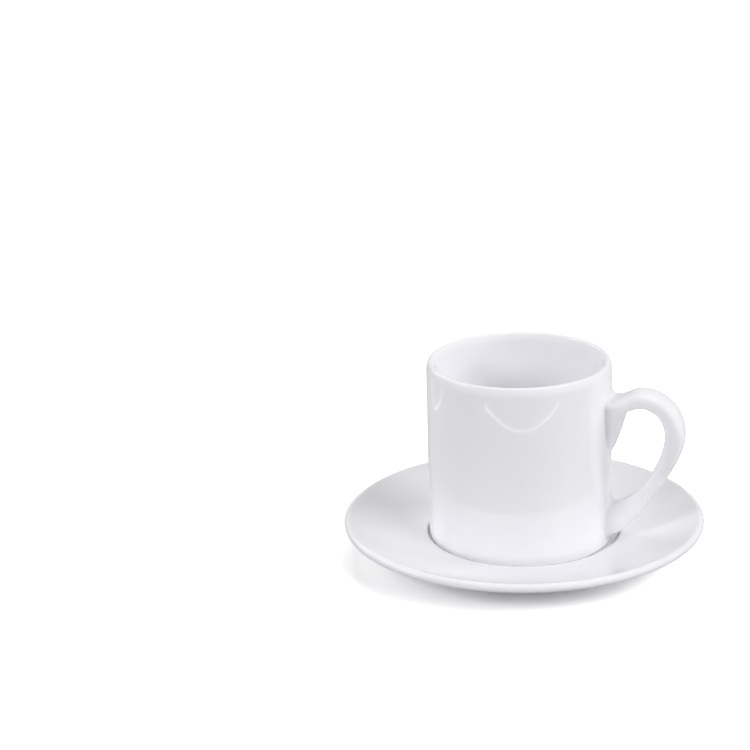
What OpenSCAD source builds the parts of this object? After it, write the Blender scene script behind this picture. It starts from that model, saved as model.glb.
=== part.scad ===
// Small straight-walled coffee cup with a luted ear handle, standing in the well of its saucer.
// Millimetres, +Z up. The origin is the middle of the saucer's foot, on the table, and the handle
// points along +X.

/* [Cup] */
// Outside diameter of the straight wall
cup_d = 60; // [54:0.5:70]
// Height from the foot to the top of the lip
cup_h = 60.5; // [54:0.5:80]
// Thickness of the wall, rounded over fully at the lip
wall_t = 2.8; // [2.2:0.1:4]
// Thickness of the floor, foot to inside
floor_t = 4.5; // [3:0.1:7]
// Radius of the outside corner between wall and foot
corner_r = 1.5; // [1:0.1:4]
// Radius of the inside corner between wall and floor
inner_corner_r = 6; // [2:0.5:12]
// Width of the ring that the cup stands on
foot_ring_w = 3; // [2:0.5:5]
// Depth of the hollow inside that ring
foot_recess = 0.9; // [0.4:0.1:1.5]

/* [Handle] */
// How far the middle of the strap reaches out from the wall at its widest point
handle_reach = 21; // [18:0.5:25]
// How far that widest point lies below the lip
widest_drop = 22.5; // [20:0.5:27]
// How far out from the wall the crown of the ear lies
crown_out = 10; // [8:0.5:12]
// How far the middle of the strap lies below the lip at the crown
crown_drop = 10.7; // [9:0.1:12.5]
// How far the middle of the upper root lies below the lip
upper_root_drop = 13.3; // [12:0.1:16]
// Height of the middle of the lower root above the foot
lower_root_z = 6.2; // [6:0.1:10]
// How far the strap runs straight out of the wall at the upper root
root_run = 5.8; // [4:0.1:7]
// How far it runs level on the wall's side of the crown
rise_run = 2.4; // [1:0.1:4]
// How far it runs level past the crown
crown_run = 6.2; // [4:0.1:8]
// How far it runs upright above the widest point
side_run = 6.7; // [4:0.1:9]
// How far it runs upright below the widest point
lower_run = 10.5; // [7:0.5:14]
// How far out of the wall the strap bends into its lower root
toe_out = 7.5; // [6:0.5:9]
// How far above the lower root that bend lies
toe_rise = 3.5; // [2:0.5:6]
// Width of the strap over the crown
strap_w_top = 10.5; // [8:0.5:12]
// Width of the strap at its lower end
strap_w_low = 9; // [7:0.5:12]
// Thickness of the strap where it leaves the upper root
strap_t_root = 4.8; // [4:0.1:6]
// Thickness of the strap over the crown
strap_t_crown = 5.7; // [4.5:0.1:7]
// Thickness of the strap at its widest point
strap_t_side = 6.4; // [4.5:0.1:8]
// Thickness of the strap along its thin lower run
strap_t_low = 4.6; // [3.5:0.1:7]
// Thickness of the strap where it spreads into its lower root
strap_t_toe = 10.4; // [7:0.1:11]
// Radius of the slip fillet round the upper root
upper_fillet = 2.3; // [1.5:0.1:3]
// Radius of the slip fillet round the lower root
lower_fillet = 3.8; // [2:0.1:4.5]
// Height of the web under the upper root, along the wall
web_h = 13.7; // [6:0.1:17]
// How far that web stands out under the strap
web_out = 6.1; // [5:0.1:8]

/* [Saucer] */
// Outside diameter of the lip
saucer_d = 118; // [112:1:140]
// Height from the table to the top of the lip
saucer_h = 12.5; // [11.5:0.1:16]
// Thickness of the dish
dish_t = 2.8; // [2.2:0.1:3.2]
// How much thicker the rounded lip is than the dish
lip_swell = 0.2; // [0.1:0.05:0.6]
// Slope of the dish where it leaves the well, in degrees
dish_rise = 4; // [0:0.5:6]
// Room round the cup's wall inside the well
well_play = 1.5; // [1:0.1:4]
// Depth of the well below its edge
well_depth = 1.7; // [1.7:0.1:2.5]
// Radius that rounds the edge of the well
well_edge_r = 1; // [0.4:0.1:1.2]
// Thickness of the floor of the well
saucer_floor_t = 3.6; // [3:0.1:4.5]
// Depth of the hollow inside the saucer's foot ring
saucer_foot_h = 2; // [1:0.1:2.5]
// Width of the saucer's foot ring
saucer_foot_w = 3; // [2:0.5:5]
// How far the foot ring reaches out past the edge of the well
saucer_foot_out = 4.4; // [3:0.1:7]

/* [Standing] */
// Gap left between wall and well on the side away from the handle
side_gap = 0.4; // [0.3:0.1:1]

/* [Hidden] */
$fn = 96;

// Cup
cup_r = cup_d / 2;
inner_r = cup_r - wall_t;
cup_lip_r = wall_t / 2;
cup_lip_z = cup_h - cup_lip_r;
foot_r = cup_r - corner_r;

// Saucer, worked out from the cup that it carries
well_r = cup_r + well_play;
floor_z = saucer_foot_h + saucer_floor_t;
edge_z = floor_z + well_depth;
well_fillet_r = (well_depth - well_edge_r) / 2;
lip_r = (dish_t + lip_swell) / 2;
lip_x = saucer_d / 2 - lip_r;
lip_z = saucer_h - lip_r;
foot_round = 0.6;
saucer_foot_r = well_r + saucer_foot_out;
foot_mid = saucer_foot_r - saucer_foot_w / 2;
join_z = edge_z - dish_t / 2;

// The edge of the well is rounded until it leans in by this angle, and the dish goes on from there
edge_lean = 25;
edge_round = [well_r + well_edge_r, edge_z - well_edge_r * cos(edge_lean)];
dish_from = [edge_round.x - well_edge_r * sin(edge_lean), edge_z];

// The dish is an arc that leaves the well's edge at the given slope and ends centred on the lip
dish_run = lip_x - dish_from.x;
dish_climb = lip_z - dish_from.y;
dish_lean = dish_t / 2 + dish_climb * cos(dish_rise) - dish_run * sin(dish_rise);
dish_r = (dish_run ^ 2 + dish_climb ^ 2 - (dish_t / 2) ^ 2) / (2 * dish_lean);
dish_mid = dish_from + dish_r * [-sin(dish_rise), cos(dish_rise)];

// Where the cup stands: on the floor of the well, pushed back from its handle
cup_x = side_gap - well_play;

// Handle: three curves from root to root in the plane of the handle, x from the cup's axis
root_sink = 1.2;
settle = 8;
oval = 2.4;
fillet_edge = 0.92;
rise_rings = 16;
crown_rings = 14;
sweep_rings = 26;
sides = 28;
crowding = 1.6;
reach_x = cup_r + handle_reach;
crown_x = cup_r + crown_out;
root_x = cup_r - root_sink;
upper_z = cup_h - upper_root_drop;
crown_z = cup_h - crown_drop;
widest_z = cup_h - widest_drop;
ear_rise = [
    [root_x, upper_z],
    [cup_r + root_run, upper_z],
    [crown_x - rise_run, crown_z],
    [crown_x, crown_z]
];
ear_crown = [
    [crown_x, crown_z],
    [crown_x + crown_run, crown_z],
    [reach_x, widest_z + side_run],
    [reach_x, widest_z]
];
ear_sweep = [
    [reach_x, widest_z],
    [reach_x, widest_z - lower_run],
    [cup_r + toe_out, lower_root_z + toe_rise],
    [root_x, lower_root_z]
];

function bezier(p, t) =
    p[0] * (1 - t) ^ 3 + p[1] * 3 * t * (1 - t) ^ 2 + p[2] * 3 * t ^ 2 * (1 - t) + p[3] * t ^ 3;
function bezier_way(p, t) =
    (p[1] - p[0]) * (1 - t) ^ 2 + (p[2] - p[1]) * 2 * t * (1 - t) + (p[3] - p[2]) * t ^ 2;
function unit(v) = v / norm(v);
function mix(a, b, s) = a + (b - a) * s;
function ease(s) = let (k = min(1, max(0, s))) k * k * (3 - 2 * k);
function power(v, e) = sign(v) * abs(v) ^ e;

// How far a round fillet of radius f stands out at a distance d from the wall, its thin edge left off
function fillet_out(d, f) = let (k = min(fillet_edge, max(0, 1 - d / f))) f * (1 - sqrt(1 - k * k));
// How far the web hangs below the strap at a distance d from the wall: an S from the strap to the wall
function web_drop(d) = web_h * ease(1 - d / web_out);

// One ring of the strap, a flattened oval across the curve. Near the wall the ring settles upright.
// The upper rings carry the web, and the fillet of the lower ones fades out on their underside.
function strap_ring(curve, t, thick, width, fillet, upper) =
    let (
        middle = bezier(curve, t),
        way = unit(bezier_way(curve, t)),
        settled = unit(mix([sign(way.x), 0], way, ease((middle.x - cup_r) / settle))),
        out = [-settled.y, settled.x],
        half_t = thick / 2,
        half_w = width / 2
    )
    [for (i = [0 : sides - 1]) let (
        a = 360 * i / sides,
        v = half_w * power(cos(a), 2 / oval),
        u = half_t * power(sin(a), 2 / oval),
        gap = middle.x + out.x * u - sqrt(cup_r ^ 2 - v ^ 2),
        hang = upper && u < 0 ? 1 + web_drop(gap) / half_t : 1,
        bare = upper ? 0 : max(0, u / half_t),
        facing = unit([u * hang / (half_t * hang) ^ 2, v / half_w ^ 2]),
        grown = [u * hang, v] + facing * fillet_out(gap, fillet) * (1 - bare)
    ) [middle.x + out.x * grown.x, grown.y, middle.y + out.y * grown.x]];

// The rings crowd towards the two roots
strap = [
    for (i = [0 : rise_rings - 1]) let (t = (i / rise_rings) ^ crowding)
        strap_ring(
            ear_rise, t, mix(strap_t_root, strap_t_crown, ease(t)), strap_w_top, upper_fillet, true
        ),
    for (i = [0 : crown_rings - 1]) let (t = i / crown_rings)
        strap_ring(
            ear_crown, t, mix(strap_t_crown, strap_t_side, ease(t)), strap_w_top, upper_fillet, true
        ),
    for (i = [0 : sweep_rings]) let (
        t = 1 - (1 - i / sweep_rings) ^ crowding,
        thinned = mix(strap_t_side, strap_t_low, ease(2 * t))
    )
        strap_ring(
            ear_sweep, t, mix(thinned, strap_t_toe, ease(2 * t - 1)),
            mix(strap_w_top, strap_w_low, ease(t)), lower_fillet, false
        )
];

function middle_of(ring) = [for (axis = [0 : 2]) (ring[0][axis] + ring[sides / 2][axis]) / 2];

// A closed skin over a list of rings, with a fan of triangles over each end
module skin(list) {
    last = len(list) - 1;
    points = [for (ring = list) each ring, middle_of(list[0]), middle_of(list[last])];
    start_hub = len(points) - 2;
    end_hub = len(points) - 1;
    around = [for (r = [0 : last - 1], i = [0 : sides - 1]) let (
        j = (i + 1) % sides,
        near = r * sides,
        far = near + sides
    ) each [[near + i, near + j, far + j], [near + i, far + j, far + i]]];
    ends = [for (i = [0 : sides - 1]) let (j = (i + 1) % sides) each [
        [start_hub, j, i],
        [end_hub, last * sides + i, last * sides + j]
    ]];
    polyhedron(points, concat(around, ends));
}

// A rectangle from the axis outwards, with its lower outer corner rounded
module cornered(r, h, corner) {
    translate([0, corner]) square([r, h - corner]);
    square([r - corner, h]);
    translate([r - corner, corner]) circle(corner);
}

// Half section of the cup: outside, less the hollow and the foot's recess, with the lip rounded over
module cup_section() {
    difference() {
        cornered(cup_r, cup_lip_z, corner_r);
        translate([0, floor_t]) cornered(inner_r, cup_h, inner_corner_r);
        translate([0, -foot_recess]) square([foot_r - foot_ring_w, 2 * foot_recess]);
    }
    translate([cup_r - cup_lip_r, cup_lip_z]) circle(cup_lip_r);
}

// The dish: the band between two arcs about one centre, as far out as the middle of the lip
module dish_section() {
    far = 2 * (dish_r + dish_t);
    to_lip = unit([lip_x, lip_z] - dish_mid) * far;
    intersection() {
        translate(dish_mid) circle(dish_r + dish_t, $fn = 240);
        polygon([dish_mid, [0, dish_mid.y - far], dish_mid + to_lip]);
    }
}

// Half section of the saucer: middle, foot ring, dish and lip
module saucer_section() {
    difference() {
        union() {
            translate([0, saucer_foot_h]) square([foot_mid, join_z - saucer_foot_h]);
            foot_section();
            dish_section();
        }
        translate(dish_mid) circle(dish_r, $fn = 240);
        well_section();
    }
    translate([lip_x, lip_z]) circle(lip_r);
}

// The ring that the saucer stands on, its two lower corners rounded
module foot_section() {
    inner = saucer_foot_r - saucer_foot_w;
    difference() {
        cornered(saucer_foot_r, join_z, foot_round);
        translate([0, -join_z]) square([inner, 3 * join_z]);
        translate([inner, 0]) square(foot_round);
    }
    translate([inner + foot_round, foot_round]) circle(foot_round);
}

// What the well takes away: a shallow dish with a filleted floor and a rounded edge
module well_section() {
    translate([0, floor_z]) cornered(well_r, 2 * well_depth, well_fillet_r);
    difference() {
        translate([0, edge_round.y]) square([edge_round.x, 2 * well_edge_r]);
        translate(edge_round) circle(well_edge_r);
    }
}

// Everything that belongs to the cup is modelled on its own foot and put where the cup stands
module standing() {
    translate([cup_x, 0, floor_z]) children();
}

module saucer() {
    color("whitesmoke") rotate_extrude() saucer_section();
}

module cup_body() {
    color("whitesmoke") standing() rotate_extrude() cup_section();
}

module cup_handle() {
    color("whitesmoke") standing() difference() {
        skin(strap);
        rotate_extrude() cornered(cup_r, cup_h, corner_r);
    }
}

saucer();
cup_body();
cup_handle();
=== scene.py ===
"""Looks of a small coffee cup on its saucer: turned porcelain under a clear glaze, in a white studio."""

import math

import bpy
import numpy as np
from mathutils import Matrix, Vector


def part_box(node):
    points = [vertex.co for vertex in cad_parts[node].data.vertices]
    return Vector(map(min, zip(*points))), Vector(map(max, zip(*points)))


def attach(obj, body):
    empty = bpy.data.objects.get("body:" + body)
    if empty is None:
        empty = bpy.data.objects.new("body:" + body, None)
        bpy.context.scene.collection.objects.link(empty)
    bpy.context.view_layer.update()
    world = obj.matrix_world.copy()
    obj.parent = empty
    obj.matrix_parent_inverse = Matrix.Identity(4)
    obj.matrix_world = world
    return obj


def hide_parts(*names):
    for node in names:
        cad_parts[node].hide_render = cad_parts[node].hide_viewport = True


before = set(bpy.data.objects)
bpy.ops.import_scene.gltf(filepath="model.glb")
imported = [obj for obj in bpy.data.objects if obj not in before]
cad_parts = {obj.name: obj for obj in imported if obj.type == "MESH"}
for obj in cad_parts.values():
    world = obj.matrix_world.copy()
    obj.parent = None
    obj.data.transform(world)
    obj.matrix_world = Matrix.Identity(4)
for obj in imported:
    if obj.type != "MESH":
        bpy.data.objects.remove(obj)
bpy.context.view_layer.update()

bl_info = {
    "name": "Coffee Cup and Saucer",
    "version": (1, 0, 0),
    "blender": (4, 5, 0),
    "location": "3D View > Sidebar > Coffee Cup",
    "description": "Makes a glazed porcelain coffee cup with its saucer and a studio around it",
    "category": "Object",
}

MM = 0.001
SAUCER_LOW, SAUCER_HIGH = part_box("saucer")
CUP_LOW, CUP_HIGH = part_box("cup_body")

# Names of the glaze and of the surface marks that it reads from a piece
GLAZE = "glazed_porcelain"
HOLLOW = "hollow"
RIDGE = "ridge"
UNGLAZED = "unglazed"

# Height above its foot up to which the clay of a piece stays bare
BARE_UP_TO = 0.1 * MM


# Kinds of setting


def length(name, description, default):
    """A size in metres that shows with its unit."""
    return bpy.props.FloatProperty(
        name=name, description=description, default=default, precision=5, unit="LENGTH", subtype="DISTANCE"
    )


def amount(name, description, default):
    """A plain number from nothing upwards."""
    return bpy.props.FloatProperty(name=name, description=description, default=default, min=0)


def number(name, description, default):
    """A whole number of parts round something or along it."""
    return bpy.props.IntProperty(name=name, description=description, default=default, min=3)


def angle(name, description, degrees):
    """An angle, given in degrees and kept in radians."""
    return bpy.props.FloatProperty(
        name=name, description=description, default=math.radians(degrees), unit="ROTATION", subtype="ANGLE"
    )


def colour(name, description, default):
    """A linear colour."""
    return bpy.props.FloatVectorProperty(
        name=name, description=description, default=default, size=3, min=0, max=1, subtype="COLOR"
    )


def place(name, description, default):
    """A point in metres."""
    return bpy.props.FloatVectorProperty(
        name=name, description=description, default=default, size=3, unit="LENGTH", subtype="TRANSLATION"
    )


# Settings


class CupSizes(bpy.types.PropertyGroup):
    """Sizes of the turned cup, measured from its own foot"""

    radius: length("Radius", "Outside radius of the straight wall", (CUP_HIGH.x - CUP_LOW.x) / 2)
    height: length("Height", "From the foot to the top of the lip", CUP_HIGH.z - CUP_LOW.z)
    wall: length("Wall", "Thickness of the wall", 2.8 * MM)
    lip: length("Lip", "Radius of the top of the lip", 1 * MM)
    shoulder: length("Shoulder", "Radius of the long rounds that lead up to the lip on both sides", 6 * MM)
    floor: length("Floor", "Thickness of the floor, foot to inside", 4.5 * MM)
    corner: length("Corner", "Radius of the outside corner at the foot", 0.6 * MM)
    inner_corner: length("Inner corner", "Radius of the inside corner at the floor", 6 * MM)
    ring: length("Foot ring", "Width of the ring that the cup stands on", 3 * MM)
    recess: length("Recess", "Depth of the hollow inside the foot ring", 0.9 * MM)
    ring_round: length("Ring round", "Radius that softens the inner edges of the foot ring", 0.35 * MM)
    segments: number("Segments", "Flat sides round the axis", 256)


class SaucerSizes(bpy.types.PropertyGroup):
    """Sizes of the turned saucer, measured from the table"""

    radius: length("Radius", "Outside radius of the lip", (SAUCER_HIGH.x - SAUCER_LOW.x) / 2)
    height: length("Height", "From the table to the top of the lip", SAUCER_HIGH.z - SAUCER_LOW.z)
    dish: length("Dish", "Thickness of the dish, rounded over fully at the lip", 2.8 * MM)
    rise: angle("Rise", "Slope of the dish where it leaves the well", 4)
    play: length("Play", "Room round the cup's wall inside the well", 1.2 * MM)
    well: length("Well", "Depth of the well below its edge", 1.7 * MM)
    edge: length("Well edge", "Radius of the round where the dish falls into the well", 0.5 * MM)
    edge_out: length("Edge out", "How far past the wall's play the dish proper starts", 0.88 * MM)
    corner: length("Well corner", "Radius of the hollow round the floor of the well", 0.5 * MM)
    floor: length("Floor", "Thickness of the floor of the well", 3.6 * MM)
    foot: length("Foot", "Depth of the hollow inside the foot ring", 2 * MM)
    ring: length("Foot ring", "Width of the foot ring", 3 * MM)
    ring_out: length("Ring out", "How far the foot ring reaches out past the edge of the well", 4.7 * MM)
    ring_round: length("Ring round", "Radius of the foot ring's lower edges", 0.6 * MM)
    soft: length("Soft", "Radius of the hollow corners under the saucer", 1.5 * MM)
    segments: number("Segments", "Flat sides round the axis", 320)


class HandleSizes(bpy.types.PropertyGroup):
    """Sizes of the ear handle, measured out from the cup's wall and down from its lip"""

    reach: length("Reach", "How far the middle of the strap reaches out", 21 * MM)
    widest: length("Widest", "Drop of the widest point below the lip", 22.5 * MM)
    crown_out: length("Crown out", "How far out the crown lies", 10 * MM)
    crown: length("Crown", "Drop of the strap's middle below the lip at the crown", 10.7 * MM)
    upper_root: length("Upper root", "Drop of the middle of the upper root below the lip", 13.3 * MM)
    lower_root: length("Lower root", "Height of the middle of the lower root above the foot", 6.2 * MM)
    root_run: length("Root run", "Straight run out of the wall at the upper root", 5.8 * MM)
    rise_run: length("Rise run", "Level run on the wall's side of the crown", 2.4 * MM)
    crown_run: length("Crown run", "Level run past the crown", 6.2 * MM)
    side_run: length("Side run", "Upright run above the widest point", 6.7 * MM)
    lower_run: length("Lower run", "Upright run below the widest point", 10.5 * MM)
    toe_out: length("Toe out", "How far out the strap bends into its lower root", 7.5 * MM)
    toe_rise: length("Toe rise", "How far above the lower root that bend lies", 3.5 * MM)
    width_top: length("Width, top", "Width of the strap over the crown", 10.5 * MM)
    width_low: length("Width, low", "Width of the strap at its lower end", 9 * MM)
    thick_root: length("Thickness, root", "Thickness at the upper root", 4.8 * MM)
    thick_crown: length("Thickness, crown", "Thickness over the crown", 5.7 * MM)
    thick_side: length("Thickness, side", "Thickness at the widest point", 6.4 * MM)
    thick_low: length("Thickness, low", "Thickness along the thin lower run", 4.6 * MM)
    thick_toe: length("Thickness, toe", "Thickness where it spreads into the lower root", 10.4 * MM)
    upper_fillet: length("Upper fillet", "Radius of the slip fillet round the upper root", 2.3 * MM)
    lower_fillet: length("Lower fillet", "Radius of the slip fillet round the lower root", 3.8 * MM)
    flare: length("Flare", "How much each side of the strap spreads towards the wall", 1.7 * MM)
    flare_out: length("Flare out", "Distance from the wall over which it spreads", 7 * MM)
    web: length("Web", "Height of the web under the upper root", 13.7 * MM)
    web_out: length("Web out", "How far that web stands out", 6.1 * MM)
    web_fillet: length("Web fillet", "Radius of the slip fillet down the sides of the web", 1 * MM)
    least_fillet: length("Least fillet", "Radius of the fillet where it fades out", 0.1 * MM)
    blend: length("Blend", "Distance from the wall over which the glaze evens out the join", 0.2 * MM)
    pool: length("Pool", "Distance from the wall at which most glaze gathers", 0.9 * MM)
    sink: length("Sink", "How deep the roots sit in the wall", 1.2 * MM)
    settle: length("Settle", "Distance from the wall over which the strap's rings turn upright", 8 * MM)
    oval: amount("Oval", "Power of the oval across the strap, 2 for an ellipse", 2.8)


class GlazeLook(bpy.types.PropertyGroup):
    """Colours and finish of the porcelain"""

    white: colour("White", "Body under an even coat of glaze", (0.94, 0.936, 0.97))
    pooled: colour("Pooled", "Where the glaze runs together in hollows", (0.875, 0.875, 0.915))
    drawn: colour("Drawn", "Where the glaze draws thin over ridges", (0.945, 0.94, 0.97))
    biscuit: colour("Biscuit", "Bare fired clay on the rings that it stands on", (0.72, 0.68, 0.62))
    speck: colour("Speck", "Tiny iron specks in the body", (0.52, 0.47, 0.43))
    speck_radius: length("Speck radius", "Radius of the specks", 0.09 * MM)
    speck_cell: length("Speck cell", "Side of a cell that may hold one speck", 5 * MM)
    speck_free: amount("Speck free", "Share of the cells that hold none", 0.8)
    speck_shade: amount("Speck shade", "How strongly a speck shows through the glaze", 0.5)
    cloud_size: length("Cloud size", "Size of the clouds of thicker glaze", 22 * MM)
    cloud_shade: amount("Cloud shade", "How much those clouds shade the body", 0.24)
    veil: amount("Veil", "How much of the pooled colour lies over the whole body", 0.06)
    steady: amount("Steady", "Share of the pooling in hollows that the clouds leave alone", 0.7)
    swell_size: length("Swell size", "Size of the slow swells of the surface", 16 * MM)
    swell: length("Swell", "Height of those swells", 0.012 * MM)
    peel_size: length("Peel size", "Size of the fine ripples of the surface", 2.2 * MM)
    peel: length("Peel", "Height of those ripples", 0.0008 * MM)
    grain_size: length("Grain size", "Size of the grain of bare clay", 0.5 * MM)
    grain_shade: amount("Grain shade", "How much that grain darkens the clay", 0.35)
    grain: length("Grain", "Height of that grain", 0.03 * MM)
    gloss: amount("Gloss roughness", "Roughness of the glaze's surface", 0.03)
    gloss_drift: amount("Gloss drift", "How much rougher the clouds of thicker glaze are", 0.02)
    clay_roughness: amount("Clay roughness", "Roughness of the bare clay", 0.75)
    index: amount("Index", "Refractive index of the glaze", 1.64)


class StudioLook(bpy.types.PropertyGroup):
    """Light, floor and camera"""

    ambient: amount("Ambient", "Strength of the even light from the room", 0.03)
    room_gloss: amount("Room in gloss", "Brightness of the room where the glaze reflects it", 0.85)
    left_front: amount("Left front", "Power of the low softbox at the left, in front, in watts", 32.5)
    left_side: amount("Left side", "Power of the softbox at the left in watts", 16.5)
    left_back: amount("Left back", "Power of the softbox at the left, behind, in watts", 11)
    back: amount("Back", "Power of the high softbox behind, in watts", 19)
    right_front: amount("Right front", "Power of the softbox at the right, in front, in watts", 40.5)
    right_side: amount("Right side", "Power of the low softbox at the right in watts", 36)
    key_turn: angle("Key turn", "How far to the camera's left the softbox at the left, in front, stands", 49)
    low_rise: angle("Low rise", "How high the low softboxes stand above the floor, seen from the cup", 27)
    lamp_rise: angle("Lamp rise", "How high the other softboxes stand", 32)
    high_rise: angle("High rise", "How high the softbox behind stands", 60)
    lamp_reach: length("Lamp reach", "Distance of the softboxes from the cup", 3)
    lamp_side: length("Lamp side", "Side of each square softbox", 1.5)
    key_side: length("Key side", "Side of the softbox at the left, in front", 0.9)
    paper: colour("Paper", "Floor, as it throws light back", (0.62, 0.62, 0.62))
    paper_seen: amount("Paper, seen", "How much brighter the floor looks than it throws light back", 2.75)
    flag: amount("Flag", "Brightness of the dark flag on the floor that only gloss shows", 0.02)
    flag_back: amount("Flag, back", "Brightness of the same flag beside and behind the object", 0.6)
    flag_fade: length("Flag fade", "How far before and behind the object the flag pales", 90 * MM)
    flag_gap: length("Flag gap", "Room between the lip of the saucer and the flag", 3 * MM)
    flag_reach: length("Flag reach", "Outer radius of that flag", 300 * MM)
    flag_sides: number("Flag sides", "Flat sides of that flag's round edges", 96)
    glint: amount("Glint", "Brightness of the narrow strip before the object that only gloss shows", 3)
    left_glint: amount("Left glint", "Brightness of the narrow strip at the left that only gloss shows", 2)
    card: amount("Card", "Brightness of the card above the object that only gloss shows", 1.8)
    card_side: length("Card side", "Side of that square card", 1.6)
    card_rise: length("Card rise", "Height of that card above the floor", 1.4)
    strip_radius: length("Strip radius", "Radius of the bright strip before the object", 350 * MM)
    strip_back: length("Strip back", "How far behind the object that strip's arc has its centre", 180 * MM)
    strip_sweep: angle("Strip sweep", "Half the sweep of that arc", 22.5)
    strip_wide: length("Strip, wide", "Width of a strip where it is widest", 4 * MM)
    strip_thin: length("Strip, thin", "Width of a strip where it is thinnest", 2 * MM)
    strip_points: number("Strip points", "Points along a strip", 33)
    eye: place("Eye", "Where the camera stands", (156.55 * MM, -718.64 * MM, 313.29 * MM))
    heading: angle("Heading", "Turn of the camera about the upright axis", 16)
    pitch: angle("Pitch", "How far the camera looks down", 18.885)
    roll: angle("Roll", "Tilt of the camera about its own axis", -1.713)
    lens: amount("Lens", "Focal length in millimetres", 115.2)
    sensor: amount("Sensor", "Width of the camera's sensor in millimetres", 36)


class CoffeeCupSettings(bpy.types.PropertyGroup):
    """Everything that a user may change"""

    cup: bpy.props.PointerProperty(type=CupSizes)
    saucer: bpy.props.PointerProperty(type=SaucerSizes)
    handle: bpy.props.PointerProperty(type=HandleSizes)
    glaze: bpy.props.PointerProperty(type=GlazeLook)
    studio: bpy.props.PointerProperty(type=StudioLook)


# Node trees


class Wire:
    """One output socket in a node tree. Sums and products of wires and numbers add Math nodes."""

    def __init__(self, tree, socket):
        self.tree = tree
        self.socket = socket

    def maths(self, operation, *operands):
        """The result of a Math node on these wires and numbers."""
        return add(self.tree, "ShaderNodeMath", {"operation": operation}, dict(enumerate(operands)))

    def other(self, name):
        """Another output of the same node."""
        return Wire(self.tree, self.socket.node.outputs[name])

    def __add__(self, more):
        return self.maths("ADD", self, more)

    def __sub__(self, less):
        return self.maths("SUBTRACT", self, less)

    def __rsub__(self, whole):
        return self.maths("SUBTRACT", whole, self)

    def __mul__(self, times):
        return self.maths("MULTIPLY", self, times)

    def __truediv__(self, parts):
        return self.maths("DIVIDE", self, parts)

    def __lt__(self, level):
        return self.maths("LESS_THAN", self, level)

    def __gt__(self, level):
        return self.maths("GREATER_THAN", self, level)

    __radd__ = __add__
    __rmul__ = __mul__


def add(tree, kind, settings=None, sockets=None, output=0):
    """Adds a node, with its settings first and then its sockets, and gives one of its outputs."""
    node = tree.nodes.new(kind)
    for name, value in (settings or {}).items():
        setattr(node, name, value)
    for name, value in (sockets or {}).items():
        if isinstance(value, Wire):
            tree.links.new(value.socket, node.inputs[name])
        else:
            node.inputs[name].default_value = value
    return Wire(tree, node.outputs[output]) if node.outputs else None


def mixed(tree, share, first, second):
    """A colour between two colours."""
    factor, a, b, result = 0, 6, 7, 2
    return add(tree, "ShaderNodeMix", {"data_type": "RGBA"}, {factor: share, a: first, b: second}, result)


def opaque(rgb):
    """A colour setting with its alpha."""
    return (*rgb, 1.0)


def fresh_material(name):
    """A material with an empty tree."""
    material = bpy.data.materials.new(name)
    material.use_nodes = True
    material.node_tree.nodes.clear()
    return material


# Glaze


def noise(tree, where, size, detail=2.0):
    """Soft noise, from 0 to 1, whose lumps have about this size in metres."""
    return add(tree, "ShaderNodeTexNoise", None, {"Vector": where, "Scale": 1 / size, "Detail": detail})


def mark(tree, name):
    """A surface mark that the piece carries."""
    return add(tree, "ShaderNodeAttribute", {"attribute_name": name}, None, "Fac")


def specks(tree, look, where):
    """1 on a speck, and 0 elsewhere."""
    spacing = {"Vector": where, "Scale": 1 / look.speck_cell}
    cells = add(tree, "ShaderNodeTexVoronoi", None, spacing, "Distance")
    draw = add(tree, "ShaderNodeSeparateColor", None, {"Color": cells.other("Color")}, "Red")
    return (cells < look.speck_radius / look.speck_cell) * (draw > look.speck_free)


def glazed_colour(tree, look, where, cloud):
    """The white body, greyer where the glaze lies thick, whiter where it draws thin, and faintly specked."""
    average = 0.5
    pooling = mark(tree, HOLLOW) * (look.steady + (1 - look.steady) * cloud)
    thickness = (cloud - average) * look.cloud_shade + look.veil
    body = mixed(tree, pooling, opaque(look.white), opaque(look.pooled))
    body = mixed(tree, mark(tree, RIDGE), body, opaque(look.drawn))
    body = mixed(tree, thickness, body, opaque(look.pooled))
    return mixed(tree, specks(tree, look, where) * look.speck_shade, body, opaque(look.speck))


def glaze_material(look):
    """White porcelain under a clear coat of glaze, which pools in hollows and leaves the foot rings bare."""
    material = fresh_material(GLAZE)
    tree = material.node_tree
    where = add(tree, "ShaderNodeTexCoord", None, None, "Object")
    bare = mark(tree, UNGLAZED)
    cloud = noise(tree, where, look.cloud_size)
    swell = noise(tree, where, look.swell_size, detail=0.0)
    peel = noise(tree, where, look.peel_size, detail=1.0)
    grain = noise(tree, where, look.grain_size, detail=4.0)
    clay = mixed(tree, grain * look.grain_shade, opaque(look.biscuit), opaque(look.speck))
    height = swell * look.swell + peel * look.peel + bare * grain * look.grain
    shader = add(
        tree,
        "ShaderNodeBsdfPrincipled",
        None,
        {
            "Base Color": mixed(tree, bare, glazed_colour(tree, look, where, cloud), clay),
            "Roughness": look.gloss + (look.clay_roughness - look.gloss) * bare + look.gloss_drift * cloud,
            "IOR": look.index,
            "Normal": add(tree, "ShaderNodeBump", None, {"Height": height, "Strength": 1.0, "Distance": 1.0}),
        },
    )
    add(tree, "ShaderNodeOutputMaterial", None, {"Surface": shader})
    return material


def glaze(look):
    """The one glaze that every piece shares."""
    return bpy.data.materials.get(GLAZE) or glaze_material(look)


# Outlines of turned pieces


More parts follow.
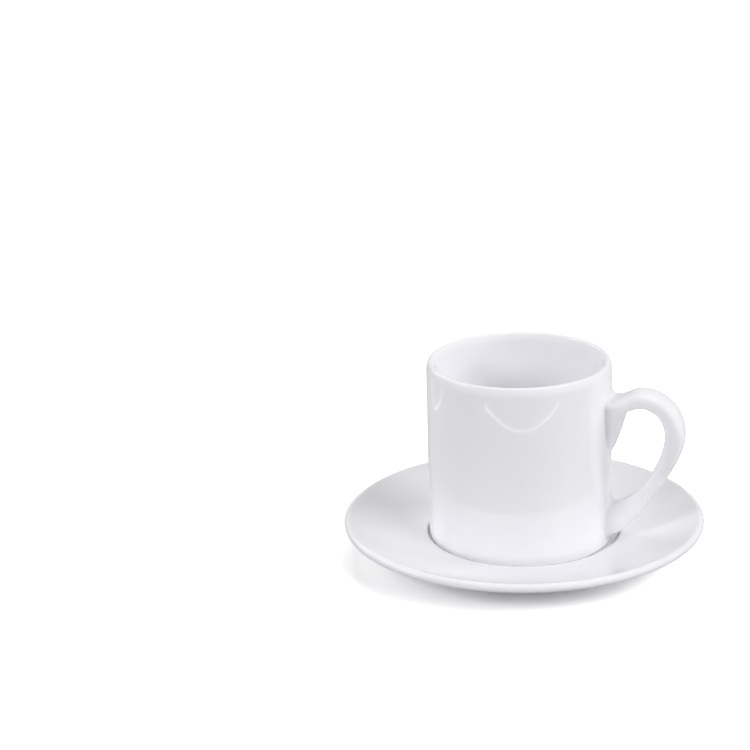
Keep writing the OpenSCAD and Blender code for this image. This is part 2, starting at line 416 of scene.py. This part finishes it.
class Outline:
    """Half the section of a turned piece, from the axis underneath, round the rim, to the axis on top.

    It is a chain of arcs with straight runs between them. The way round keeps the clay at the left, so an
    arc that turns left is a ridge and one that turns right is a hollow.
    """

    # Longest step along the outline, largest turn in one step of an arc, and fewest steps of an arc
    longest = 0.9 * MM
    widest_turn = math.radians(6)
    least_steps = 4

    # Radius of the bends that carry a full mark, and how far a mark fades out along the outline
    mark_radius = 1.0 * MM
    fade = 0.9 * MM

    def __init__(self, start):
        self.points = [np.array(start, float)]
        self.bends = [0.0]

    def run_to(self, point):
        """A straight run from where the outline is to this point."""
        start = self.points[-1]
        run = np.array(point, float) - start
        steps = max(1, math.ceil(np.hypot(*run) / self.longest))
        for i in range(1, steps + 1):
            self.points.append(start + run * i / steps)
            self.bends.append(0.0)
        return self

    def arc(self, centre, radius, start, end):
        """A straight run to an arc about this centre, and then the arc, with its angles in radians."""

        def on_arc(turn):
            return np.array(centre) + radius * np.array([math.cos(turn), math.sin(turn)])

        self.run_to(on_arc(start))
        turned = end - start
        by_turn = math.ceil(abs(turned) / self.widest_turn)
        by_length = math.ceil(abs(turned) * radius / self.longest)
        steps = max(self.least_steps, by_turn, by_length)
        for i in range(1, steps + 1):
            self.points.append(on_arc(start + turned * i / steps))
            self.bends.append(math.copysign(1 / radius, turned))
        return self

    def marks(self):
        """How much of a hollow and of a ridge each point is, from 0 to 1, fading out along the outline."""
        points = np.array(self.points)
        steps = np.hypot(*np.diff(points, axis=0).T)
        along = np.concatenate([[0], np.cumsum(steps)])
        near = np.exp(-(((along[:, None] - along[None, :]) / self.fade) ** 2))
        bend = np.clip(np.array(self.bends) * self.mark_radius, -1, 1)

        def spread(part):
            return (near * part[None, :]).max(axis=1)

        return spread(np.clip(-bend, 0, 1)), spread(np.clip(bend, 0, 1))

    def mesh(self, name):
        """The outline as a chain of edges in the XZ plane, with its surface marks."""
        mesh = bpy.data.meshes.new(name)
        edges = [(i, i + 1) for i in range(len(self.points) - 1)]
        mesh.from_pydata([(x, 0, z) for x, z in self.points], edges, [])
        hollow, ridge = self.marks()
        bare = np.array([float(z < BARE_UP_TO) for _, z in self.points])
        for mark_name, values in ((HOLLOW, hollow), (RIDGE, ridge), (UNGLAZED, bare)):
            layer = mesh.attributes.new(mark_name, "FLOAT", "POINT")
            layer.data.foreach_set("value", values.astype(np.float32))
        return mesh


def heading(start, end):
    """The angle of the way from one point to another."""
    return math.atan2(end[1] - start[1], end[0] - start[0])


# Ways across the section, as angles
RIGHT, UP, LEFT, DOWN = 0.0, math.pi / 2, math.pi, -math.pi / 2


def cup_outline(cup):
    """Half section of the cup, with its foot at height 0."""
    foot = cup.radius - cup.corner
    ring = foot - cup.ring
    soft = cup.ring_round
    inside = cup.radius - cup.wall
    inner = cup.inner_corner
    aside = cup.shoulder - cup.wall / 2
    climb = math.sqrt((cup.shoulder - cup.lip) ** 2 - aside**2)
    brow = cup.height - cup.lip - climb
    lean = math.atan2(climb, aside)
    outline = Outline((0, cup.recess))
    outline.arc((ring - soft, cup.recess - soft), soft, UP, RIGHT)
    outline.arc((ring + soft, soft), soft, LEFT, LEFT + math.pi / 2)
    outline.arc((foot, cup.corner), cup.corner, DOWN, RIGHT)
    outline.arc((cup.radius - cup.shoulder, brow), cup.shoulder, RIGHT, lean)
    outline.arc((cup.radius - cup.wall / 2, brow + climb), cup.lip, lean, LEFT - lean)
    outline.arc((inside + cup.shoulder, brow), cup.shoulder, LEFT - lean, LEFT)
    outline.arc((inside - inner, cup.floor + inner), inner, RIGHT, DOWN)
    return outline.run_to((0, cup.floor))


class SaucerPlan:
    """Where the arcs of the saucer's section lie, worked out from its sizes and the cup that it carries."""

    def __init__(self, saucer, cup):
        self.well = cup.radius + saucer.play
        self.floor = saucer.foot + saucer.floor
        edge_height = self.floor + saucer.well
        half = saucer.dish / 2
        self.lip = np.array([saucer.radius - half, saucer.height - half])
        self.foot = self.well + saucer.ring_out
        start = np.array([self.well + saucer.edge_out, edge_height])
        run, climb = self.lip - start
        lean = half + climb * math.cos(saucer.rise) - run * math.sin(saucer.rise)
        self.top = (run**2 + climb**2 - half**2) / (2 * lean)
        self.under = self.top + saucer.dish
        self.middle = start + self.top * np.array([-math.sin(saucer.rise), math.cos(saucer.rise)])
        self.hollow = np.array([self.well - saucer.corner, self.floor + saucer.corner])
        self.edge = self.meeting(self.hollow, saucer.edge + saucer.corner, self.top + saucer.edge)

    def meeting(self, hollow, near, far):
        """The outer point at one distance from the hollow's centre and at another from the dish's centre."""
        way = hollow - self.middle
        span = np.hypot(*way)
        along = (span**2 + far**2 - near**2) / (2 * span)
        aside = math.sqrt(far**2 - along**2)
        way = way / span
        return self.middle + along * way + aside * np.array([-way[1], way[0]])

    def below(self, radius, across):
        """Height of an arc about the dish's centre, under that centre, at a distance from the axis."""
        return self.middle[1] - math.sqrt(radius**2 - (across - self.middle[0]) ** 2)


def saucer_outline(saucer, cup):
    """Half section of the saucer, standing on height 0."""
    plan = SaucerPlan(saucer, cup)
    ring = plan.foot - saucer.ring
    ring_round = saucer.ring_round
    soft = saucer.soft
    outline = Outline((0, saucer.foot))
    inner_soft = saucer.foot - ring_round
    outline.arc((ring - inner_soft, saucer.foot - inner_soft), inner_soft, UP, RIGHT)
    outline.arc((ring + ring_round, ring_round), ring_round, LEFT, LEFT + math.pi / 2)
    outline.arc((plan.foot - ring_round, ring_round), ring_round, DOWN, RIGHT)

    foot_soft = (plan.foot + soft, plan.below(plan.under + soft, plan.foot + soft))
    outline.arc(foot_soft, soft, LEFT, heading(foot_soft, plan.middle))

    outward = heading(plan.middle, plan.lip)
    outline.arc(plan.middle, plan.under, heading(plan.middle, foot_soft), outward)
    outline.arc(plan.lip, saucer.dish / 2, outward, outward + math.pi)

    fall = heading(plan.edge, plan.hollow)
    outline.arc(plan.middle, plan.top, outward, heading(plan.middle, plan.edge))
    outline.arc(plan.edge, saucer.edge, heading(plan.edge, plan.middle), fall)
    outline.arc(plan.hollow, saucer.corner, fall - math.pi, DOWN)
    return outline.run_to((0, plan.floor))


# Turning


def lathe_tree():
    """A geometry tree that turns an outline in the XZ plane about the Z axis and carries its marks along."""
    weld = 1e-3 * MM
    group = bpy.data.node_groups.new("lathe", "GeometryNodeTree")
    for name, kind in (
        ("Outline", "NodeSocketGeometry"),
        ("Segments", "NodeSocketInt"),
        ("Stand", "NodeSocketVector"),
        ("Finish", "NodeSocketMaterial"),
    ):
        group.interface.new_socket(name, in_out="INPUT", socket_type=kind)
    group.interface.new_socket("Piece", in_out="OUTPUT", socket_type="NodeSocketGeometry")

    outline = add(group, "NodeGroupInput", None, None, "Outline")
    segments = outline.other("Segments")
    finish = outline.other("Finish")
    rows = add(
        group,
        "GeometryNodeAttributeDomainSize",
        {"component": "MESH"},
        {"Geometry": outline},
        "Point Count",
    )
    sheet = add(group, "GeometryNodeMeshGrid", None, {"Vertices X": segments + 1, "Vertices Y": rows}, "Mesh")
    index = add(group, "GeometryNodeInputIndex")
    row = index.maths("MODULO", index, rows)
    turn = index.maths("FLOOR", index / rows) / segments * (2 * math.pi)

    def sampled(kind, value):
        return add(
            group,
            "GeometryNodeSampleIndex",
            {"data_type": kind, "domain": "POINT"},
            {"Geometry": outline, "Value": value, "Index": row},
        )

    across = add(
        group,
        "ShaderNodeSeparateXYZ",
        None,
        {"Vector": sampled("FLOAT_VECTOR", add(group, "GeometryNodeInputPosition"))},
        "X",
    )
    turned = add(
        group,
        "ShaderNodeCombineXYZ",
        None,
        {
            "X": across * turn.maths("COSINE", turn),
            "Y": across * turn.maths("SINE", turn),
            "Z": across.other("Z"),
        },
    )
    piece = add(
        group,
        "GeometryNodeSetPosition",
        None,
        {"Geometry": sheet, "Position": turned, "Offset": outline.other("Stand")},
    )
    for name in (HOLLOW, RIDGE, UNGLAZED):
        stored = add(
            group,
            "GeometryNodeInputNamedAttribute",
            {"data_type": "FLOAT"},
            {"Name": name},
            "Attribute",
        )
        piece = add(
            group,
            "GeometryNodeStoreNamedAttribute",
            {"data_type": "FLOAT", "domain": "POINT"},
            {"Geometry": piece, "Name": name, "Value": sampled("FLOAT", stored)},
        )
    piece = add(group, "GeometryNodeMergeByDistance", None, {"Geometry": piece, "Distance": weld})
    piece = add(group, "GeometryNodeSetShadeSmooth", None, {"Geometry": piece, "Shade Smooth": True})
    piece = add(group, "GeometryNodeRealizeInstances", None, {"Geometry": piece})
    piece = add(group, "GeometryNodeSetMaterial", None, {"Geometry": piece, "Material": finish})
    add(group, "NodeGroupOutput", None, {"Piece": piece})
    return group


def new_object(name, mesh):
    """A new object in the scene, at the origin."""
    piece = bpy.data.objects.new(name, mesh)
    bpy.context.scene.collection.objects.link(piece)
    return piece


def turned_piece(name, outline_mesh, stand, finish, segments):
    """A plain mesh turned from an outline by the lathe tree."""
    blank = new_object(name + "_outline", outline_mesh)
    lathe = blank.modifiers.new("lathe", "NODES")
    lathe.node_group = bpy.data.node_groups.get("lathe") or lathe_tree()
    values = {"Segments": segments, "Stand": stand, "Finish": finish}
    for item in lathe.node_group.interface.items_tree:
        if item.in_out == "INPUT" and item.name in values:
            lathe[item.identifier] = values[item.name]
    depsgraph = bpy.context.evaluated_depsgraph_get()
    mesh = bpy.data.meshes.new_from_object(blank.evaluated_get(depsgraph), depsgraph=depsgraph)
    bpy.data.objects.remove(blank)
    mesh.name = name
    return new_object(name, mesh)


def dress(piece, node, body):
    """The piece stands for a node of the frame, which it hides, and moves with its body."""
    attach(piece, body)
    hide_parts(node)


def cup_stand():
    """Where the middle of the cup's foot stands."""
    return ((CUP_LOW.x + CUP_HIGH.x) / 2, (CUP_LOW.y + CUP_HIGH.y) / 2, CUP_LOW.z)


# Handle


def bezier(points, t):
    """Points along a cubic curve."""
    s = 1 - t
    weights = (s**3, 3 * t * s**2, 3 * t**2 * s, t**3)
    return sum(np.outer(weight, point) for weight, point in zip(weights, points))


def bezier_way(points, t):
    """The way that a cubic curve runs, of no set length."""
    s = 1 - t
    weights = (s**2, 2 * t * s, t**2)
    return sum(np.outer(weight, run) for weight, run in zip(weights, np.diff(np.array(points), axis=0)))


def unit(v):
    """Vectors of length 1, along the last axis."""
    return v / np.linalg.norm(v, axis=-1, keepdims=True)


def mix(a, b, share):
    """A value between two values."""
    return a + (b - a) * share


def ease(share):
    """A soft start and a soft end between 0 and 1."""
    k = np.clip(share, 0, 1)
    return k * k * (3 - 2 * k)


def power(v, exponent):
    """A power that keeps the sign."""
    return np.sign(v) * np.abs(v) ** exponent


class Strap:
    """The skin of the handle: rings of points from root to root, about the cup's axis and above its foot."""

    # Points in a ring, rings along each curve, and the power by which rings crowd towards the roots
    sides = 96
    rise_rings = 64
    crown_rings = 44
    sweep_rings = 96
    crowding = 2.2

    # Share of its radius over which a fillet keeps growing towards the wall
    fillet_edge = 0.999

    def __init__(self, handle, cup):
        self.handle = handle
        self.wall = cup.radius
        root = self.wall - handle.sink
        crown = np.array([self.wall + handle.crown_out, cup.height - handle.crown])
        side = np.array([self.wall + handle.reach, cup.height - handle.widest])
        upper = cup.height - handle.upper_root
        lower = handle.lower_root
        self.rise = [(root, upper), (self.wall + handle.root_run, upper), crown - [handle.rise_run, 0], crown]
        self.crown = [crown, crown + [handle.crown_run, 0], side + [0, handle.side_run], side]
        toe = (self.wall + handle.toe_out, lower + handle.toe_rise)
        self.sweep = [side, side - [0, handle.lower_run], toe, (root, lower)]

    def fillet(self, gap, radius):
        """How far a round fillet stands out at a distance from the wall."""
        k = np.clip(1 - gap / radius, 0, self.fillet_edge)
        return radius * (1 - np.sqrt(1 - k * k))

    def web(self, gap):
        """How far the web hangs below the strap at a distance from the wall: an S from strap to wall."""
        return self.handle.web * ease(1 - gap / self.handle.web_out)

    def rings(self, curve, t, thick, width, upper):
        """Rings of points across one curve. The upper rings carry the web."""
        handle = self.handle
        middle = bezier(curve, t)
        way = unit(bezier_way(curve, t))
        level = np.stack([np.sign(way[:, 0]), np.zeros(len(t))], axis=-1)
        upright = ease((middle[:, 0] - self.wall) / handle.settle)[:, None]
        settled = unit(mix(level, way, upright))
        out = np.stack([-settled[:, 1], settled[:, 0]], axis=-1)
        half_t = (thick / 2)[:, None]
        flare = handle.flare * ease(1 - (middle[:, 0] - self.wall) / handle.flare_out)
        half_w = (width / 2 + flare)[:, None]
        turn = np.linspace(0, 2 * math.pi, self.sides, endpoint=False)
        v = half_w * power(np.cos(turn), 2 / handle.oval)
        u = half_t * power(np.sin(turn), 2 / handle.oval)
        gap = middle[:, :1] + out[:, :1] * u - np.sqrt(self.wall**2 - v**2)
        hang = np.where(u < 0, 1 + self.web(gap) / half_t, 1) if upper else np.ones_like(u)
        above = np.clip(u / half_t, 0, 1)
        if upper:
            radius = mix(handle.web_fillet, handle.upper_fillet, above)
        else:
            radius = mix(handle.lower_fillet, handle.least_fillet, above)
        facing = unit(np.stack([u * hang / (half_t * hang) ** 2, v / half_w**2], axis=-1))
        edge = np.sqrt(self.wall**2 - (v + facing[..., 1] * radius) ** 2)
        lift = middle[:, :1] + out[:, :1] * u - edge
        grown = np.stack([u * hang, v], axis=-1) + facing * self.fillet(lift, radius)[..., None]
        return np.stack(
            [
                middle[:, :1] + out[:, :1] * grown[..., 0],
                grown[..., 1],
                middle[:, 1:] + out[:, 1:] * grown[..., 0],
            ],
            axis=-1,
        )

    def skin(self):
        """Every ring, from the upper root over the crown to the lower root."""
        handle = self.handle
        t = (np.arange(self.rise_rings) / self.rise_rings) ** self.crowding
        full = np.full(len(t), handle.width_top)
        rise = self.rings(self.rise, t, mix(handle.thick_root, handle.thick_crown, ease(t)), full, True)
        t = np.arange(self.crown_rings) / self.crown_rings
        full = np.full(len(t), handle.width_top)
        crown = self.rings(self.crown, t, mix(handle.thick_crown, handle.thick_side, ease(t)), full, True)
        t = 1 - (1 - np.arange(self.sweep_rings + 1) / self.sweep_rings) ** self.crowding
        thinned = mix(handle.thick_side, handle.thick_low, ease(2 * t))
        sweep = self.rings(
            self.sweep,
            t,
            mix(thinned, handle.thick_toe, ease(2 * t - 1)),
            mix(handle.width_top, handle.width_low, ease(t)),
            False,
        )
        return np.concatenate([rise, crown, sweep])


def handle_mesh(handle, cup, stand):
    """A closed skin over the strap's rings, put where the cup stands, with its surface marks."""
    rings = Strap(handle, cup).skin()
    count, sides = rings.shape[:2]
    points = rings.reshape(-1, 3)
    ends = [rings[0].mean(axis=0), rings[-1].mean(axis=0)]

    def corner(ring, i):
        return ring * sides + i % sides

    faces = [
        (corner(ring, i), corner(ring, i + 1), corner(ring + 1, i + 1), corner(ring + 1, i))
        for ring in range(count - 1)
        for i in range(sides)
    ]
    first, last = len(points), len(points) + 1
    faces += [(first, corner(0, i + 1), corner(0, i)) for i in range(sides)]
    faces += [(last, corner(count - 1, i), corner(count - 1, i + 1)) for i in range(sides)]
    corners = np.concatenate([points, ends])
    gap = np.hypot(corners[:, 0], corners[:, 1]) - cup.radius
    mesh = bpy.data.meshes.new("handle")
    mesh.from_pydata((corners + np.array(stand)).tolist(), [], faces)
    mesh.polygons.foreach_set("use_smooth", np.ones(len(faces), bool))
    depth = np.clip(gap, 0, None) / handle.pool
    layer = mesh.attributes.new(HOLLOW, "FLOAT", "POINT")
    layer.data.foreach_set("value", (depth * np.exp(1 - depth)).astype(np.float32))
    even_join(mesh, corners, ease(1 - gap / handle.blend)[:, None])
    return mesh


def even_join(mesh, corners, share):
    """Turns the handle's normals into those of the wall where its skin runs out on the wall."""
    own = np.empty(3 * len(corners), np.float32)
    mesh.vertex_normals.foreach_get("vector", own)
    outward = unit(corners * np.array([1, 1, 0]))
    mesh.normals_split_custom_set_from_vertices(unit(mix(own.reshape(-1, 3), outward, share)).tolist())


# Stage


WHITE = (1.0, 1.0, 1.0, 1.0)


def rays(tree, kind):
    """1 for this kind of ray, and 0 for the rest."""
    return add(tree, "ShaderNodeLightPath", None, None, f"Is {kind} Ray")


def white_room(studio):
    """A room that lights the object evenly, looks plain white itself and shows grey in the gloss."""
    world = bpy.data.worlds.new("white_room")
    world.use_nodes = True
    tree = world.node_tree
    tree.nodes.clear()
    seen = (1 - studio.ambient) * rays(tree, "Camera")
    mirrored = (studio.room_gloss - studio.ambient) * rays(tree, "Glossy")
    level = studio.ambient + seen + mirrored
    light = add(tree, "ShaderNodeBackground", None, {"Color": WHITE, "Strength": level})
    add(tree, "ShaderNodeOutputWorld", None, {"Surface": light})
    bpy.context.scene.world = world


def paper_floor(studio):
    """A wide sheet of pale paper on the table, which looks white where the object leaves it in the light."""
    reach = 8.0
    mesh = bpy.data.meshes.new("floor")
    corners = [(-reach, -reach, 0), (reach, -reach, 0), (reach, reach, 0), (-reach, reach, 0)]
    mesh.from_pydata(corners, [], [(0, 1, 2, 3)])
    material = fresh_material("pale_paper")
    tree = material.node_tree
    bright = opaque(level * studio.paper_seen for level in studio.paper)
    tone = mixed(tree, rays(tree, "Camera"), opaque(studio.paper), bright)
    shader = add(tree, "ShaderNodeBsdfDiffuse", None, {"Color": tone})
    add(tree, "ShaderNodeOutputMaterial", None, {"Surface": shader})
    mesh.materials.append(material)
    new_object("floor", mesh)


def before_camera(studio, across, back, height):
    """A point measured from the object: to the camera's right, away from the camera, and up."""
    return Matrix.Rotation(studio.heading, 3, "Z") @ Vector((across, back, height))


def softbox(studio, name, turn, rise, watts, side, in_gloss=False):
    """A square soft light that looks at the object, turned to the camera's right and raised this far.

    The glaze mirrors it only if it is in_gloss.
    """
    lamp = bpy.data.lights.new(name, "AREA")
    lamp.shape = "SQUARE"
    lamp.size = side
    lamp.energy = watts
    level = studio.lamp_reach * math.cos(rise)
    height = studio.lamp_reach * math.sin(rise)
    holder = new_object(name, lamp)
    holder.location = before_camera(studio, level * math.sin(turn), -level * math.cos(turn), height)
    holder.rotation_euler = (-holder.location).to_track_quat("-Z", "Y").to_euler()
    holder.visible_glossy = in_gloss


def shine(tree, tone, strength):
    """Ends a material's tree in plain light of this colour."""
    light = add(tree, "ShaderNodeEmission", None, {"Color": tone, "Strength": strength})
    add(tree, "ShaderNodeOutputMaterial", None, {"Surface": light})


def even_shine(name, level):
    """A material that shines white with this strength."""
    material = fresh_material(name)
    shine(material.node_tree, WHITE, level)
    return material


def graded_shine(studio, name):
    """A grey shine that is dark before the object and pales beside and behind it."""
    material = fresh_material(name)
    tree = material.node_tree
    away = before_camera(studio, 0, 1, 0)
    where = add(tree, "ShaderNodeTexCoord", None, None, "Object")
    behind = add(tree, "ShaderNodeVectorMath", {"operation": "DOT_PRODUCT"}, {0: where, 1: away}, "Value")
    ends = {
        "Value": behind,
        "From Min": -studio.flag_fade,
        "From Max": studio.flag_fade,
        "To Min": studio.flag,
        "To Max": studio.flag_back,
    }
    shine(tree, add(tree, "ShaderNodeMapRange", {"interpolation_type": "SMOOTHSTEP"}, ends), 1.0)
    return material


def gloss_card(name, points, faces, material):
    """A flat card that only the glaze reflects."""
    mesh = bpy.data.meshes.new(name)
    mesh.from_pydata(points, [], faces)
    mesh.materials.append(material)
    card = new_object(name, mesh)
    card.visible_camera = False
    card.visible_diffuse = False
    card.visible_shadow = False


def dark_flag(studio):
    """A ring on the floor around the saucer, dark before the object and paler beside and behind it."""
    name = "dark_flag"
    height = 0.2 * MM
    sides = studio.flag_sides
    radii = (SAUCER_HIGH.x + studio.flag_gap, studio.flag_reach)
    turns = np.linspace(0, 2 * math.pi, sides, endpoint=False)
    points = [
        (radius * math.cos(turn), radius * math.sin(turn), height)
        for turn in turns
        for radius in radii
    ]
    faces = [(2 * i, 2 * i + 1, (2 * i + 3) % (2 * sides), (2 * i + 2) % (2 * sides)) for i in range(sides)]
    gloss_card(name, points, faces, graded_shine(studio, name))


def top_card(studio):
    """A wide card above the object, for an unbroken shine along its lips."""
    name = "top_card"
    half = studio.card_side / 2
    corners = ((-half, -half), (half, -half), (half, half), (-half, half))
    points = [before_camera(studio, across, back, studio.card_rise) for across, back in corners]
    gloss_card(name, points, [(0, 1, 2, 3)], even_shine(name, studio.card))


def bright_strip(studio, name, way, widths, level):
    """A narrow bright strip over the dark flag, along points before the camera."""
    height = 0.4 * MM
    along = unit(np.gradient(way, axis=0))
    aside = np.stack([-along[:, 1], along[:, 0]], axis=-1) * widths[:, None] / 2
    edges = np.stack([way - aside, way + aside], axis=1).reshape(-1, 2)
    points = [before_camera(studio, across, back, height) for across, back in edges]
    faces = [(2 * i, 2 * i + 1, 2 * i + 3, 2 * i + 2) for i in range(len(way) - 1)]
    gloss_card(name, points, faces, even_shine(name, level))


def front_strip(studio):
    """A strip in a wide arc in front of the object, thinnest in its middle."""
    share = np.linspace(-1, 1, studio.strip_points)
    turn = share * studio.strip_sweep
    way = studio.strip_radius * np.stack([np.sin(turn), -np.cos(turn)], axis=-1) + [0, studio.strip_back]
    widths = mix(studio.strip_thin, studio.strip_wide, share**2)
    bright_strip(studio, "front_strip", way, widths, studio.glint)


def left_strip(studio):
    """A strip at the left of the object that bends back on itself, on a cubic curve before the camera."""
    bends = np.array([(-213, 42), (-140, 72), (-118, 100), (-153, 139)]) * MM
    share = np.linspace(0, 1, studio.strip_points)
    widths = mix(studio.strip_thin, studio.strip_wide, 4 * share * (1 - share))
    bright_strip(studio, "left_strip", bezier(bends, share), widths, studio.left_glint)


def camera(studio):
    """The camera, where the photograph was taken."""
    data = bpy.data.cameras.new("camera")
    data.lens = studio.lens
    data.sensor_width = studio.sensor
    data.clip_start = 10 * MM
    holder = new_object("camera", data)
    turn = Matrix.Rotation(studio.heading, 4, "Z")
    tilt = Matrix.Rotation(math.pi / 2 - studio.pitch, 4, "X")
    roll = Matrix.Rotation(studio.roll, 4, "Z")
    holder.matrix_world = Matrix.Translation(studio.eye) @ turn @ tilt @ roll
    bpy.context.scene.camera = holder


# Operators


class TurnSaucer(bpy.types.Operator):
    """Turn the saucer from its outline"""

    bl_idname = "coffee_cup.turn_saucer"
    bl_label = "Saucer"

    def execute(self, context):
        settings = context.scene.coffee_cup
        mesh = saucer_outline(settings.saucer, settings.cup).mesh("saucer_outline")
        finish = glaze(settings.glaze)
        piece = turned_piece("glazed_saucer", mesh, (0, 0, 0), finish, settings.saucer.segments)
        dress(piece, "saucer", "saucer")
        return {"FINISHED"}


class TurnCup(bpy.types.Operator):
    """Turn the cup from its outline"""

    bl_idname = "coffee_cup.turn_cup"
    bl_label = "Cup"

    def execute(self, context):
        settings = context.scene.coffee_cup
        mesh = cup_outline(settings.cup).mesh("cup_outline")
        finish = glaze(settings.glaze)
        piece = turned_piece("glazed_cup", mesh, cup_stand(), finish, settings.cup.segments)
        dress(piece, "cup_body", "cup")
        return {"FINISHED"}


class PullHandle(bpy.types.Operator):
    """Pull the ear handle out of the cup's wall"""

    bl_idname = "coffee_cup.pull_handle"
    bl_label = "Handle"

    def execute(self, context):
        settings = context.scene.coffee_cup
        mesh = handle_mesh(settings.handle, settings.cup, cup_stand())
        mesh.materials.append(glaze(settings.glaze))
        dress(new_object("glazed_handle", mesh), "cup_handle", "cup")
        return {"FINISHED"}


class SetStage(bpy.types.Operator):
    """Set up the floor, the lights and the camera"""

    bl_idname = "coffee_cup.set_stage"
    bl_label = "Stage"

    def execute(self, context):
        studio = context.scene.coffee_cup.studio
        context.scene.view_settings.view_transform = "Standard"
        white_room(studio)
        paper_floor(studio)
        eighth = math.pi / 4
        wide = studio.lamp_side
        softbox(studio, "left_front", -studio.key_turn, studio.low_rise, studio.left_front, studio.key_side)
        softbox(studio, "left_side", -2 * eighth, studio.lamp_rise, studio.left_side, wide, in_gloss=True)
        softbox(studio, "left_back", -3 * eighth, studio.lamp_rise, studio.left_back, wide, in_gloss=True)
        softbox(studio, "right_front", eighth, studio.lamp_rise, studio.right_front, wide)
        softbox(studio, "right_side", 2 * eighth, studio.low_rise, studio.right_side, wide)
        softbox(studio, "back", 4 * eighth, studio.high_rise, studio.back, wide)
        dark_flag(studio)
        front_strip(studio)
        left_strip(studio)
        top_card(studio)
        camera(studio)
        return {"FINISHED"}


class CoffeeCupPanel(bpy.types.Panel):
    """The pieces and their settings"""

    bl_idname = "VIEW3D_PT_coffee_cup"
    bl_label = "Coffee Cup"
    bl_space_type = "VIEW_3D"
    bl_region_type = "UI"
    bl_category = "Coffee Cup"

    def draw(self, context):
        settings = context.scene.coffee_cup
        groups = (settings.saucer, settings.cup, settings.handle, settings.studio)
        for operator, group in zip(OPERATORS, groups):
            box = self.layout.box()
            box.operator(operator.bl_idname)
            for name in group.__annotations__:
                box.prop(group, name)
        box = self.layout.box()
        for name in settings.glaze.__annotations__:
            box.prop(settings.glaze, name)


OPERATORS = (TurnSaucer, TurnCup, PullHandle, SetStage)
GROUPS = (CupSizes, SaucerSizes, HandleSizes, GlazeLook, StudioLook, CoffeeCupSettings)
CLASSES = (*GROUPS, *OPERATORS, CoffeeCupPanel)


def register():
    """Adds the settings, the operators and the panel to Blender."""
    for cls in CLASSES:
        bpy.utils.register_class(cls)
    bpy.types.Scene.coffee_cup = bpy.props.PointerProperty(type=CoffeeCupSettings)


def unregister():
    """Takes them out again."""
    del bpy.types.Scene.coffee_cup
    for cls in reversed(CLASSES):
        bpy.utils.unregister_class(cls)


def main():
    """Makes every piece and the stage."""
    register()
    bpy.ops.coffee_cup.turn_saucer()
    bpy.ops.coffee_cup.turn_cup()
    bpy.ops.coffee_cup.pull_handle()
    bpy.ops.coffee_cup.set_stage()


if __name__ == "__main__":
    main()
